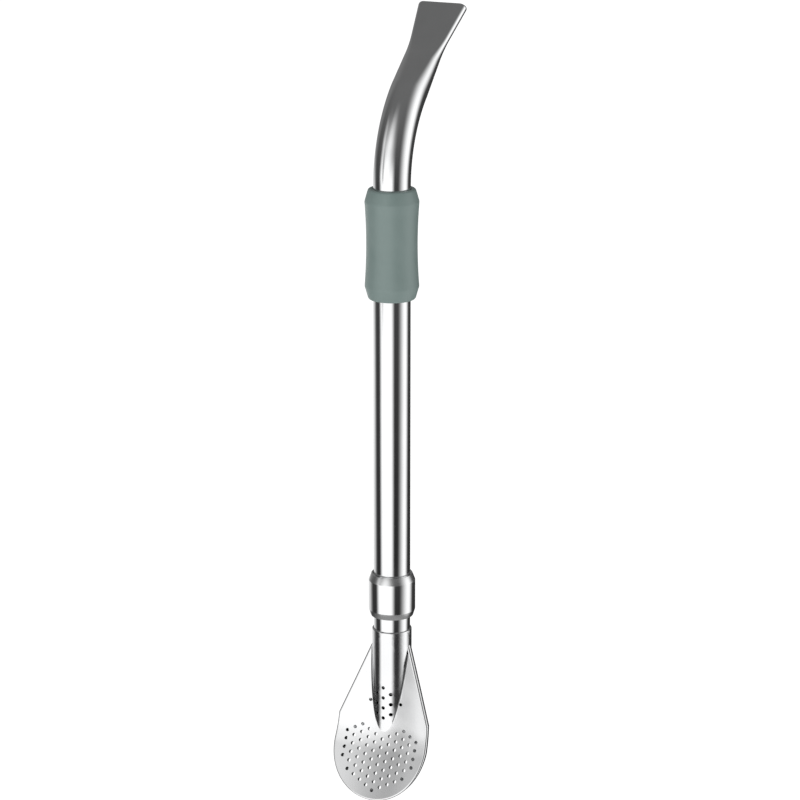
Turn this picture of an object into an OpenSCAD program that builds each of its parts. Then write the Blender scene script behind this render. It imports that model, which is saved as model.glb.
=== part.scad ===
// Spoon bombilla: a stainless drinking straw with a pressed mouthpiece, a silicone grip,
// a union nut and a perforated spoon filter that comes off for cleaning.
// Millimetres. The straw stands along +Z, the origin is on its axis at the nut's top face,
// the spoon's hollow face looks to -Y and the mouthpiece leans to +Y.

/* [Straw] */
// Outside diameter of the straw, the mouthpiece and the neck
tube_d = 9; // [8:0.1:11]
// Wall of those tubes
tube_wall = 0.5; // [0.3:0.05:0.7]
// Height of the brazed joint between straw and mouthpiece, under the grip
joint_z = 84; // [76:0.5:90]

/* [Mouthpiece] */
// Height at which the bend starts
bend_start = 96.4; // [94:0.2:110]
// Radius of the bend, to the tube's axis
bend_r = 30; // [20:0.5:45]
// Angle of the bend
bend_angle = 46; // [30:1:60]
// Round straight length after the bend
round_run = 9; // [4:0.5:16]
// Length of the pressed tip
tip_len = 16.8; // [12:0.2:24]
// Length in which the press would close the tube fully
press_len = 19.6; // [19.6:0.2:30]
// Thickness to which the press closes the tube
press_thick = 2.5; // [2:0.1:4]
// Stretch of the girth under the press
press_stretch = 0.02; // [0:0.005:0.05]
// Radius of the rounded corners at the mouth
mouth_corner_r = 1.5; // [0.5:0.1:2.5]

/* [Grip] */
// Height of the grip's lower end above the nut
grip_z = 69.3; // [20:0.1:69.3]
// Length of the grip
grip_len = 26.8; // [20:0.1:26.8]
// Largest diameter, at the two shoulders
grip_d = 13.1; // [11.5:0.1:16]
// Diameter of the waist
grip_waist_d = 12.3; // [11:0.1:13]
// Diameter of the end faces
grip_end_d = 11.2; // [10.4:0.1:11.4]
// Length of the taper at each end
grip_taper = 3.1; // [1.5:0.1:5]
// Radius that softens the end edges
grip_edge_r = 0.5; // [0.2:0.1:0.5]
// Radial gap between the grip's bore and the straw
grip_gap = 0.05; // [0.02:0.01:0.1]

/* [Union nut] */
// Diameter of the nut
nut_d = 11.5; // [11.2:0.1:15]
// Length of the nut
nut_len = 10.8; // [9:0.1:14]
// Diameter of the nut's top face
nut_top_d = 10.1; // [9.8:0.1:11]
// Height of the upper bevel
nut_top_bevel = 1.75; // [0.5:0.05:1.8]
// Diameter of the nut's bottom face
nut_bottom_d = 10.5; // [10.4:0.05:11]
// Height of the lower bevel
nut_bottom_bevel = 1.6; // [0.5:0.05:3]
// Thickness of the inner lip that holds the straw's flange
nut_lip = 1.9; // [1.2:0.05:2.5]
// Radial running gap of the nut on the straw and of the thread
nut_gap = 0.05; // [0.02:0.01:0.1]
// Height of the flange on the straw's end
flange_h = 1.2; // [0.8:0.05:2]
// Diameter of the flange
flange_d = 9.9; // [9.6:0.05:9.95]
// Thickness of the gasket between straw and neck
gasket_h = 1; // [0.5:0.05:1.5]
// Outside diameter of the neck's threaded ferrule
ferrule_d = 10; // [9.8:0.05:10.1]
// Height of the ferrule
ferrule_h = 5.2; // [4:0.1:5.6]
// Play between the nut's lip and the flange
lip_gap = 0.05; // [0.02:0.01:0.1]

/* [Spoon] */
// Height of the socket's rim, from the origin down
socket_drop = 14.25; // [12:0.05:17]
// Sheet thickness of both spoon halves
sheet = 0.35; // [0.3:0.05:0.5]
// Radial gap for the solder between neck and socket, and on the ferrule and flange
solder_gap = 0.03; // [0.01:0.01:0.08]
// Drop of the wings' upper corners
wing_drop = 17.7; // [16:0.1:22]
// Drop of the outline's kinks
kink_drop = 37; // [34:0.1:39]
// Width across the kinks
kink_w = 24.5; // [22:0.1:24.8]
// Drop of the bowl's centre
bowl_drop = 43.3; // [42:0.1:48]
// Diameter of the bowl's round end, seen from the front
bowl_d = 25.1; // [25:0.1:28]
// How far inside the round end the flanks end, at its widest
flank_in = 0.1; // [0.05:0.01:0.3]
// Distance of the bowl's face in front of the straw's axis, at the foot of the tongue
face_depth = 5.1; // [5.05:0.05:5.6]
// Drop of that point
face_drop = 41.9; // [41:0.1:43]
// Slope of the bowl's face against the straw
bowl_slope = 28.4; // [24:0.1:34]
// Angle by which the wings stand up from the bowl
wing_bend = 17.2; // [12:0.1:24]
// Radius of that bend
wing_bend_r = 13.5; // [10:0.5:28]
// Length of the bowl's straight part below the foot of the tongue, before the bend
bend_lead = 2.14; // [0:0.02:4]
// Radius of the bowl across its width
bowl_r = 68; // [50:0.5:80]
// Room between the two sheets
chamber = 0.9; // [0.4:0.05:1.2]
// Width of the rim that closes the chamber
rim_w = 0.9; // [0.6:0.05:1.2]
// Drop of the centre of the round nose behind the bowl
nose_drop = 32.8; // [31:0.1:36]

/* [Holes] */
// Pitch of the bowl's holes, across and along
hole_pitch = 1.9; // [1.8:0.05:2.2]
// Diameter of the holes in the front sheet
hole_d = 0.88; // [0.6:0.02:1]
// Diameter of the holes in the back sheet
back_hole_d = 1.48; // [0.8:0.02:1.56]
// Columns of holes on each side of the middle one
side_columns = 5; // [3:1:5]
// Outer rings of holes that the back sheet leaves out
back_skip = 1; // [0:1:2]
// Clear width between the hole field and the bowl's edge
field_margin = 1.95; // [1.5:0.05:3]
// Height of the row of holes at the foot of the tongue, above that foot
first_row_rise = 0.7; // [0.4:0.1:1.1]
// Pitch of the holes along the tongue
tongue_pitch = 2.66; // [2:0.02:3]
// Height of the middle of the tongue's holes, above its foot
tongue_mid_rise = 9.16; // [8.5:0.02:10]
// How far the tongue's side columns sit below its middle one
tongue_sag = 0.27; // [0:0.01:0.5]

/* [Hidden] */
$fn = 96;
steel = "#c9ccce";
silicone = "#80948f";

tube_r = tube_d / 2;
bore_r = tube_r - tube_wall;

// Heights inside the nut, from its top face down
flange_z = -nut_lip - lip_gap;
straw_end_z = flange_z - flange_h;
neck_top_z = straw_end_z - gasket_h;
ferrule_z = neck_top_z - ferrule_h;
nut_bore_r = ferrule_d / 2 + nut_gap;

// The neck reaches into the socket as far as the wings
neck_end_z = -wing_drop - tube_d / 2;
socket_in_r = tube_r + solder_gap;
socket_r = socket_in_r + sheet;

// Bowl: a surface turned about an axis in front of the spoon, parallel to the bowl's slope
axis_up = 60;
axis_down = 45;
bend_z = -bend_lead;
bend_steps = 8;
back_face = sheet + chamber;
bowl_rim_r = bowl_d / 2;
field_r = bowl_rim_r - field_margin;
row_pitch = hole_pitch / 2;
row_count = ceil(bowl_d / row_pitch);
hole_sides = 24;
// Holes in each column of the tongue, from the middle one outwards
tongue_columns = [4, 3, 1];
deep = 60;

// Mouthpiece, along its axis from the start of the bend
bend_len = bend_r * bend_angle * PI / 180;
press_start = bend_len + round_run;
mouth_s = press_start + tip_len;
ring_sides = 36;
bend_rings = 10;
press_rings = 9;
corner_rings = 3;
girth = 2 * PI * tube_r;

// Fine enough for the flat arc of the grip's waist
waist_sides = 720;

// A round tube that stands on z
module tube(z, h, r_out, r_in) {
    translate([0, 0, z])
        linear_extrude(h)
            difference() {
                circle(r_out);
                circle(r_in);
            }
}

// Distances along the mouthpiece's axis are counted from the start of the bend.
// How far the press has closed at s, 0 to 1
function closed(s) = let (x = min(max((s - press_start) / press_len, 0), 1)) x * x * (3 - 2 * x);

// Half the thickness and half the width of the mouthpiece at s
function half_t(s) = tube_r + (press_thick / 2 - tube_r) * closed(s);
function half_w(s) =
    let (b = half_t(s), long = girth * (1 + press_stretch * closed(s)))
    b + (long - 2 * PI * b) / 4;

// How much the rounded corner takes off each side near the mouth
function corner_cut(s) =
    let (d = max(s - (mouth_s - mouth_corner_r), 0))
    mouth_corner_r - sqrt(max(mouth_corner_r * mouth_corner_r - d * d, 0));

// Lean of the axis at s, and the axis itself in the YZ plane
function lean(s) = min(max(s / bend_len, 0), 1) * bend_angle;
function axis_y(s) = bend_r * (1 - cos(lean(s))) + max(s - bend_len, 0) * sin(bend_angle);
function axis_z(s) =
    bend_start + min(s, 0) + bend_r * sin(lean(s)) + max(s - bend_len, 0) * cos(bend_angle);

// One ring of the mouthpiece: a flat oval square to the axis, drawn in by inset
function oval(s, inset) =
    let (b = half_t(s), flat = max(half_w(s) - b - corner_cut(s), 0), y = axis_y(s), z = axis_z(s))
    [for (i = [0:ring_sides - 1])
        let (a = (i + 0.5) * 360 / ring_sides, out = (b - inset) * sin(a))
        [sign(cos(a)) * flat + (b - inset) * cos(a), y + out * cos(lean(s)), z - out * sin(lean(s))]];

// Joins the rings of a skin; flip turns the skin inside out
function skin(first, rings, flip) =
    [for (j = [0:rings - 2], i = [0:ring_sides - 1])
        let (a = first + j * ring_sides + i,
             b = first + j * ring_sides + (i + 1) % ring_sides,
             c = b + ring_sides,
             d = a + ring_sides)
        each flip ? [[a, b, c], [a, c, d]] : [[a, c, b], [a, d, c]]];

// Closes the wall between the outer and the inner ring at one end
function wall(outer, inner, flip) =
    [for (i = [0:ring_sides - 1])
        let (k = (i + 1) % ring_sides)
        each flip
            ? [[outer + i, outer + k, inner + k], [outer + i, inner + k, inner + i]]
            : [[outer + i, inner + k, outer + k], [outer + i, inner + i, inner + k]]];

module straw_tube() {
    color(steel)
        tube(straw_end_z, joint_z - straw_end_z, tube_r, bore_r);
}

// The upper tube: straight into the grip, bent back, then pressed flat towards the mouth
module mouthpiece() {
    places = [
        joint_z - bend_start,
        each [for (i = [0:bend_rings]) bend_len * i / bend_rings],
        press_start,
        each [for (i = [1:press_rings]) press_start + (tip_len - mouth_corner_r) * i / press_rings],
        each [for (i = [1:corner_rings]) mouth_s - mouth_corner_r * (1 - sin(90 * i / corner_rings))]
    ];
    rings = len(places);
    half = rings * ring_sides;
    color(steel)
        polyhedron(points = concat([for (s = places) each oval(s, 0)],
                                   [for (s = places) each oval(s, tube_wall)]),
                   faces = concat(skin(0, rings, false),
                                  skin(half, rings, true),
                                  wall(0, half, true),
                                  wall(half - ring_sides, 2 * half - ring_sides, false)));
}

module straw_flange() {
    color(steel)
        tube(straw_end_z, flange_h, flange_d / 2, tube_r + solder_gap);
}

// Moulded sleeve: tapered ends, two shoulders and a long shallow waist
module grip_sleeve() {
    shoulder = grip_d / 2;
    waist = grip_waist_d / 2;
    reach = grip_len / 2 - grip_taper;
    sag = shoulder - waist;
    waist_arc_r = (reach * reach + sag * sag) / (2 * sag);
    end_r = grip_end_d / 2;
    bore = tube_r + grip_gap;
    color(silicone)
        translate([0, 0, grip_z + grip_len / 2])
            rotate_extrude()
                difference() {
                    polygon([
                        [bore, -grip_len / 2],
                        [end_r - grip_edge_r, -grip_len / 2],
                        [end_r, -grip_len / 2 + grip_edge_r],
                        [shoulder, -reach],
                        [shoulder, reach],
                        [end_r, grip_len / 2 - grip_edge_r],
                        [end_r - grip_edge_r, grip_len / 2],
                        [bore, grip_len / 2]
                    ]);
                    translate([waist + waist_arc_r, 0])
                        circle(waist_arc_r, $fn = waist_sides);
                }
}

// The nut turns on the straw below the lip and draws the neck up by its thread
module collar_nut() {
    top_r = nut_top_d / 2;
    bottom_r = nut_bottom_d / 2;
    lip_r = tube_r + nut_gap;
    color(steel)
        rotate_extrude()
            polygon([
                [lip_r, 0],
                [top_r, 0],
                [nut_d / 2, -nut_top_bevel],
                [nut_d / 2, -nut_len + nut_bottom_bevel],
                [bottom_r, -nut_len],
                [nut_bore_r, -nut_len],
                [nut_bore_r, -nut_lip],
                [lip_r, -nut_lip]
            ]);
}

module union_gasket() {
    color("#e6e4de")
        tube(neck_top_z, gasket_h, flange_d / 2, bore_r);
}

module neck_ferrule() {
    color(steel)
        tube(ferrule_z, ferrule_h, ferrule_d / 2, tube_r + solder_gap);
}

module neck_tube() {
    color(steel)
        tube(neck_end_z, neck_top_z - neck_end_z, tube_r, bore_r);
}

// Moves to the axis that the bowl is turned about, level with the foot of the tongue
module on_bowl_axis() {
    translate([0, -face_depth - bowl_r * cos(bowl_slope), -face_drop + bowl_r * sin(bowl_slope)])
        rotate([-bowl_slope, 0, 0])
            children();
}

// Stands a drawing on the bowl's slope, level with the foot of the tongue, and gives it depth square to it
module on_bowl() {
    on_bowl_axis()
        translate([0, bowl_r + deep / 2, 0])
            rotate([90, 0, 0])
                linear_extrude(deep)
                    children();
}

// All that lies in front of the bowl's face, the face set back by d
module before_face(d) {
    centre_r = bowl_r - wing_bend_r;
    arc = [for (i = [0:bend_steps])
        let (a = wing_bend * i / bend_steps)
        [centre_r + (wing_bend_r + d) * cos(a), bend_z + (wing_bend_r + d) * sin(a)]];
    last = arc[bend_steps];
    top_r = last[0] - (axis_up - last[1]) * tan(wing_bend);
    on_bowl_axis()
        rotate_extrude()
            polygon([
                [0, -axis_down],
                [bowl_r + d, -axis_down],
                each arc,
                [top_r, axis_up],
                [0, axis_up]
            ]);
}

// Stands a drawing of the spoon seen from the front on the XZ plane and gives it depth
module from_front() {
    translate([0, deep / 2, 0])
        rotate([90, 0, 0])
            linear_extrude(deep)
                children();
}

// The spoon's outline: wings down to the kinks, flanks that run into the round end, drawn in by inset
module outline(inset) {
    half_top = socket_r - sheet / 2;
    kink = kink_w / 2 - inset;
    rim = bowl_rim_r - inset;
    flank = rim - flank_in;
    polygon([
        [-half_top, -wing_drop - inset],
        [half_top, -wing_drop - inset],
        [kink, -kink_drop],
        [flank, -bowl_drop],
        [-flank, -bowl_drop],
        [-kink, -kink_drop]
    ]);
    translate([0, -bowl_drop])
        circle(rim);
}

// Staggered holes punched square to the bowl: the upper rows leave the tongue free, the round end
// bounds the rest, and skip leaves out that many outer rings
module bowl_holes(d, skip) {
    columns = side_columns - skip;
    for (n = [-columns:columns]) {
        x = n * hole_pitch;
        sag = bowl_r - sqrt(bowl_r * bowl_r - x * x);
        first = max(1 - abs(n), abs(n) - columns + skip);
        for (k = [first:2:row_count]) {
            rise = first_row_rise - k * row_pitch;
            along = rise / cos(bowl_slope) - sag * tan(bowl_slope);
            if (norm([x, bowl_drop - face_drop + rise]) <= field_r - skip * row_pitch)
                on_bowl()
                    translate([x, along])
                        circle(d = d, $fn = hole_sides);
        }
    }
}

// Holes of the tongue: a long column in the middle and shorter ones beside it
module tongue_holes() {
    reach = len(tongue_columns) - 1;
    for (n = [-reach:reach]) {
        count = tongue_columns[abs(n)];
        middle = -face_drop + tongue_mid_rise - (n == 0 ? 0 : tongue_sag);
        for (k = [0:count - 1])
            translate([n * hole_pitch, middle + (k - (count - 1) / 2) * tongue_pitch])
                circle(d = hole_d, $fn = hole_sides);
    }
}

// Round channel of the socket from its rim down to drop
module channel(r, drop) {
    translate([0, 0, -drop])
        cylinder(h = drop - socket_drop, r = r);
}

// Front half: perforated bowl face and wings, with the tongue that covers the channel
module spoon_front() {
    color(steel)
        difference() {
            union() {
                intersection() {
                    from_front() outline(0);
                    difference() {
                        before_face(sheet);
                        before_face(0);
                    }
                }
                intersection() {
                    channel(socket_r, bowl_drop);
                    before_face(sheet);
                }
            }
            translate([0, 0, -bowl_drop - socket_r])
                cylinder(h = bowl_drop + socket_r, r = socket_in_r);
            bowl_holes(hole_d, 0);
            from_front() tongue_holes();
        }
}

// Back half: a perforated pan with a rim, and the channel that ends in a round nose
module spoon_back() {
    color(steel)
        difference() {
            union() {
                intersection() {
                    from_front() outline(0);
                    before_face(back_face + sheet);
                }
                channel(socket_r, nose_drop);
                translate([0, 0, -nose_drop])
                    sphere(socket_r);
            }
            before_face(sheet);
            intersection() {
                from_front() outline(rim_w);
                before_face(back_face);
            }
            channel(socket_in_r, nose_drop);
            translate([0, 0, -nose_drop])
                sphere(socket_in_r);
            bowl_holes(back_hole_d, back_skip);
        }
}

straw_tube();
mouthpiece();
straw_flange();
grip_sleeve();
collar_nut();
union_gasket();
neck_ferrule();
neck_tube();
spoon_front();
spoon_back();
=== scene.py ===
"""Looks of a spoon bombilla: polished straw, silicone grip, union nut and perforated spoon filter."""

import logging
import math
from dataclasses import dataclass
from enum import Enum
from typing import Callable, List, Sequence, Tuple, Union

import bmesh
import bpy
from mathutils import Matrix, Vector


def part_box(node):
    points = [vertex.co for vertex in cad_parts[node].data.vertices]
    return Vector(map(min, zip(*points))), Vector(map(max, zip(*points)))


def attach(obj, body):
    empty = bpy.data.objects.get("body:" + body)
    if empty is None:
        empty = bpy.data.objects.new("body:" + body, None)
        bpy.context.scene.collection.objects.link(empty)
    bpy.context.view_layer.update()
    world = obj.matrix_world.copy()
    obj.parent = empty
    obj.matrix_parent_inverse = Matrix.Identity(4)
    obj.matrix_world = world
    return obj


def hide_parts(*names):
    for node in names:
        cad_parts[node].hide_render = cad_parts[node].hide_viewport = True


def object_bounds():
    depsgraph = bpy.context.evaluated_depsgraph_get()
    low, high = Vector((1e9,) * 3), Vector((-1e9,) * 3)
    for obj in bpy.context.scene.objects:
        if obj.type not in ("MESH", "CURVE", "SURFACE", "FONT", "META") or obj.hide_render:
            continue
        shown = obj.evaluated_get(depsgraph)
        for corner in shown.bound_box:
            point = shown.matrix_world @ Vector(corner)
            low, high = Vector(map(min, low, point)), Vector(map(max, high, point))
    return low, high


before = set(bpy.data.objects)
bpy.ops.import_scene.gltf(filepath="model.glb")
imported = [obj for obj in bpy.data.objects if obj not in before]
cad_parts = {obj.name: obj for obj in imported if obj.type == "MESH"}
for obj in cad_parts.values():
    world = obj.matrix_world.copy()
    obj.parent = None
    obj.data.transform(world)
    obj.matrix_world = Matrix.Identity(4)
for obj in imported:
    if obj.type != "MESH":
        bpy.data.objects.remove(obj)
CAD_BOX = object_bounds()

MM = 0.001
TUBE_R = 4.5 * MM
TUBE_WALL = 0.5 * MM
TUBE_EDGE_R = 0.08 * MM
SOLDER_GAP = 0.03 * MM
LOG = logging.getLogger("bombilla")

Point2 = Tuple[float, float]
Span = Tuple[float, float]
Place = Callable[[float, float], Vector]
Value = Union[bpy.types.NodeSocket, float]


class Body(Enum):
    """The bodies that pieces ride on."""

    STRAW = "straw"
    GRIP = "grip"
    NUT = "nut"
    HEAD = "head"


class Slot(Enum):
    """The record's material slots."""

    STEEL = "steel"
    GRIP = "grip_silicone"
    GASKET = "gasket_silicone"


@dataclass(frozen=True)
class SteelFinish:
    """Polished stainless steel with fine lines left by the polishing belt.

    Attributes:
        name: material name.
        tint: colour of the metal.
        roughness: middle roughness.
        spread: how far smudges move the roughness either way.
        line_scale: density of the polishing lines along X, Y and Z, per metre.
        line_depth: height of the lines in metres.
        smudge_scale: density of the smudges, per metre.
        paler: how much paler the metal is in a smudge.
    """

    name: str
    tint: Tuple[float, float, float]
    roughness: float
    spread: float
    line_scale: Tuple[float, float, float]
    line_depth: float
    smudge_scale: float = 160.0
    paler: float = 1.05

    def material(self) -> bpy.types.Material:
        """Returns the node material of this steel."""
        made = NodeMaterial(self.name)
        lines = made.noise(self.line_scale, scale=1.0, detail=3.0)
        smudge = made.noise((1.0, 1.0, 1.0), scale=self.smudge_scale, detail=4.0)
        pale = tuple(min(1.0, c * self.paler) for c in self.tint)
        made.colour(smudge, self.tint, pale)
        made.roughness(smudge, self.roughness - self.spread, self.roughness + self.spread)
        made.bump(lines, self.line_depth)
        made.shader.inputs["Metallic"].default_value = 1.0
        return made.material


@dataclass(frozen=True)
class SiliconeFinish:
    """Moulded silicone with a fine eroded skin.

    Attributes:
        name: material name.
        dark: colour in the low spots.
        pale: colour in the high spots.
        roughness: middle roughness.
        sheen: strength of the dusty sheen.
        skin_depth: height of the skin's grain in metres.
        spread: how far the clouds move the roughness either way.
        skin_scale: density of the skin's grain, per metre.
        cloud_scale: density of the clouds, per metre.
        sheen_roughness: roughness of the sheen.
        specular: strength of the plain highlights.
    """

    name: str
    dark: Tuple[float, float, float]
    pale: Tuple[float, float, float]
    roughness: float
    sheen: float
    skin_depth: float
    spread: float = 0.06
    skin_scale: float = 5200.0
    cloud_scale: float = 260.0
    sheen_roughness: float = 0.5
    specular: float = 0.65

    def material(self) -> bpy.types.Material:
        """Returns the node material of this silicone."""
        made = NodeMaterial(self.name)
        skin = made.noise((1.0, 1.0, 1.0), scale=self.skin_scale, detail=3.0)
        cloud = made.noise((1.0, 1.0, 1.0), scale=self.cloud_scale, detail=5.0)
        made.colour(cloud, self.dark, self.pale)
        made.roughness(cloud, self.roughness - self.spread, self.roughness + self.spread)
        made.bump(skin, self.skin_depth)
        made.shader.inputs["Sheen Weight"].default_value = self.sheen
        made.shader.inputs["Sheen Roughness"].default_value = self.sheen_roughness
        made.shader.inputs["Specular IOR Level"].default_value = self.specular
        return made.material


class NodeMaterial:
    """A Principled material on Object coordinates, built up noise by noise."""

    NOISE_LOW = 0.3
    NOISE_HIGH = 0.7

    def __init__(self, name: str) -> None:
        """Makes an empty material with its shader.

        Args:
            name: material name.
        """
        self.material = bpy.data.materials.new(name)
        self.material.use_nodes = True
        self.tree = self.material.node_tree
        self.shader = self.tree.nodes["Principled BSDF"]
        self.coords = self.tree.nodes.new("ShaderNodeTexCoord")

    def noise(self, stretch: Sequence[float], scale: float, detail: float) -> bpy.types.NodeSocket:
        """Adds a noise.

        Args:
            stretch: scale of the coordinates along each axis.
            scale: scale of the noise.
            detail: octaves.

        Returns:
            The noise's value socket.
        """
        mapping = self.tree.nodes.new("ShaderNodeMapping")
        mapping.inputs["Scale"].default_value = stretch
        texture = self.tree.nodes.new("ShaderNodeTexNoise")
        texture.inputs["Scale"].default_value = scale
        texture.inputs["Detail"].default_value = detail
        self.tree.links.new(self.coords.outputs["Object"], mapping.inputs["Vector"])
        self.tree.links.new(mapping.outputs["Vector"], texture.inputs["Vector"])
        return texture.outputs["Fac"]

    def colour(self, mask: bpy.types.NodeSocket, low: Sequence[float], high: Sequence[float]) -> None:
        """Colours the surface between two tints.

        Args:
            mask: value that picks the tint.
            low: tint at the mask's low end.
            high: tint at its high end.
        """
        ramp = self.tree.nodes.new("ShaderNodeValToRGB")
        ends = ((self.NOISE_LOW, low), (self.NOISE_HIGH, high))
        for element, (position, tint) in zip(ramp.color_ramp.elements, ends):
            element.position = position
            element.color = (*tint, 1.0)
        self.tree.links.new(mask, ramp.inputs["Fac"])
        self.tree.links.new(ramp.outputs["Color"], self.shader.inputs["Base Color"])

    def roughness(self, mask: bpy.types.NodeSocket, low: float, high: float) -> None:
        """Spreads the roughness between two values.

        Args:
            mask: value that picks the roughness.
            low: roughness at the mask's low end.
            high: roughness at its high end.
        """
        spread = self.tree.nodes.new("ShaderNodeMapRange")
        spread.inputs["From Min"].default_value = self.NOISE_LOW
        spread.inputs["From Max"].default_value = self.NOISE_HIGH
        spread.inputs["To Min"].default_value = low
        spread.inputs["To Max"].default_value = high
        self.tree.links.new(mask, spread.inputs["Value"])
        self.tree.links.new(spread.outputs["Result"], self.shader.inputs["Roughness"])

    def bump(self, height: bpy.types.NodeSocket, depth: float) -> None:
        """Raises the surface.

        Args:
            height: height value, 0 to 1.
            depth: full height in metres.
        """
        node = self.tree.nodes.new("ShaderNodeBump")
        node.inputs["Strength"].default_value = 1.0
        node.inputs["Distance"].default_value = depth
        self.tree.links.new(height, node.inputs["Height"])
        self.tree.links.new(node.outputs["Normal"], self.shader.inputs["Normal"])


class Workshop:
    """Small mesh tools that every piece uses."""

    ROUND_STEPS = 144
    ROUND_SEGMENTS = 3
    CORNER_FACETS = 2.5
    EDGE_STEPS = 5
    EDGE_SOFT = 0.95
    HALVINGS = 48
    SECOND_FINISH = 1
    SHARP = math.radians(32.0)
    WELD = 0.002 * MM

    @staticmethod
    def finish(bm: bmesh.types.BMesh, name: str, *materials: bpy.types.Material) -> bpy.types.Object:
        """Turns a bmesh into a smooth-shaded object at the origin.

        Args:
            bm: mesh to use up.
            name: piece name.
            materials: its finishes, in the order of the faces' indices.

        Returns:
            The new object, linked to the scene.
        """
        mesh = bpy.data.meshes.new(name)
        bm.to_mesh(mesh)
        bm.free()
        mesh.shade_smooth()
        mesh.set_sharp_from_angle(angle=Workshop.SHARP)
        for material in materials:
            mesh.materials.append(material)
        piece = bpy.data.objects.new(name, mesh)
        bpy.context.scene.collection.objects.link(piece)
        return piece

    @staticmethod
    def weld(bm: bmesh.types.BMesh) -> None:
        """Merges doubles and turns the faces outwards."""
        bmesh.ops.remove_doubles(bm, verts=bm.verts[:], dist=Workshop.WELD)
        bmesh.ops.recalc_face_normals(bm, faces=bm.faces[:])

    @staticmethod
    def turned(profile: Sequence[Point2], round_r: float) -> bmesh.types.BMesh:
        """Turns a closed profile about the straw's axis and rounds its corners.

        Args:
            profile: radius and height of each corner, in metres.
            round_r: radius of the corners.

        Returns:
            The closed ring.
        """
        bm = bmesh.new()
        corners = [bm.verts.new((r, 0.0, z)) for r, z in profile]
        edges = [bm.edges.new((corners[i - 1], corners[i])) for i in range(len(corners))]
        bmesh.ops.spin(bm, geom=corners + edges, cent=(0, 0, 0), axis=(0, 0, 1), angle=math.tau,
                       steps=Workshop.ROUND_STEPS, use_merge=True)
        Workshop.weld(bm)
        if round_r > 0.0:
            sharp = Workshop.CORNER_FACETS * math.tau / Workshop.ROUND_STEPS
            rings = [e for e in bm.edges if e.is_manifold and e.calc_face_angle() > sharp]
            bmesh.ops.bevel(bm, geom=rings, offset=round_r, offset_type="OFFSET",
                            segments=Workshop.ROUND_SEGMENTS, profile=0.5, affect="EDGES",
                            clamp_overlap=True, material=-1)
        return bm

    @staticmethod
    def ring(inner: float, outer: float, heights: Span, round_r: float) -> bmesh.types.BMesh:
        """Turns a plain ring about the straw's axis.

        Args:
            inner: radius of its bore.
            outer: radius of its outside.
            heights: its lower and upper end.
            round_r: radius of the corners.

        Returns:
            The closed ring.
        """
        low, high = heights
        return Workshop.turned([(inner, low), (outer, low), (outer, high), (inner, high)], round_r)

    @staticmethod
    def steps(first: float, last: float, count: int) -> List[float]:
        """Evenly spaced values.

        Args:
            first: first value.
            last: last value.
            count: number of steps between them.

        Returns:
            The values, both ends included.
        """
        return [first + (last - first) * i / count for i in range(count + 1)]

    @staticmethod
    def bisect(span: Span, below: Callable[[float], bool]) -> float:
        """Finds the value at which a test turns over.

        Args:
            span: lowest and highest value to look at.
            below: tells whether a value is still below the one looked for.

        Returns:
            The value.
        """
        low, high = span
        for _ in range(Workshop.HALVINGS):
            middle = (low + high) / 2
            if below(middle):
                low = middle
            else:
                high = middle
        return (low + high) / 2

    @staticmethod
    def fillet(centres: Sequence[Vector], starts: Sequence[Vector], ends: Sequence[Vector], radius: float,
               count: int) -> List[List[Vector]]:
        """Rows of points of the fillet that a rolling ball leaves.

        Args:
            centres: the ball's centres along the seam.
            starts: unit directions from each centre to where the ball touches one side.
            ends: unit directions to where it touches the other side.
            radius: radius of the ball.
            count: steps from side to side.

        Returns:
            The rows, from one side to the other.
        """
        rows = []
        for share in Workshop.steps(0.0, 1.0, count):
            arms = [start.slerp(end, share) for start, end in zip(starts, ends)]
            rows.append([centre + radius * arm for centre, arm in zip(centres, arms)])
        return rows

    @staticmethod
    def thicken(bm: bmesh.types.BMesh, push: float) -> None:
        """Gives a sheet its thickness.

        Args:
            bm: the sheet.
            push: thickness, towards +Y, or towards -Y where it is below 0.
        """
        bm.normal_update()
        shift = bm.verts.layers.float_vector.new("shift")
        side = math.copysign(1.0, sum(f.normal.y * f.calc_area() for f in bm.faces))
        for v in bm.verts:
            v[shift] = v.normal * push * side
        made = bmesh.ops.extrude_face_region(bm, geom=bm.faces[:], use_keep_orig=True)["geom"]
        for v in made:
            if isinstance(v, bmesh.types.BMVert):
                v.co += v[shift]
        bmesh.ops.recalc_face_normals(bm, faces=bm.faces[:])

    @staticmethod
    def edge_section(width: float, round_r: float, outer: float, inner: float) -> List[Point2]:
        """Section of the bar along a sheet's edge, with its outer corner rounded.

        Args:
            width: how far the bar's inner side lies in from the outline.
            round_r: radius of the corner.
            outer: how far the rounded side lies behind the face.
            inner: how far the other side lies behind it.

        Returns:
            Corners: how far in from the outline, and how far behind the face.
        """
        toward = math.copysign(1.0, inner - outer)
        soft = Workshop.EDGE_SOFT * round_r
        section = [(width, outer), (round_r, outer)] if width > round_r else [(width, outer)]
        for a in Workshop.steps(0.0, math.pi / 2, Workshop.EDGE_STEPS):
            section.append((soft * (1.0 - math.sin(a)), outer + toward * soft * (1.0 - math.cos(a))))
        return section + [(0.0, inner), (width, inner)]

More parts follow.
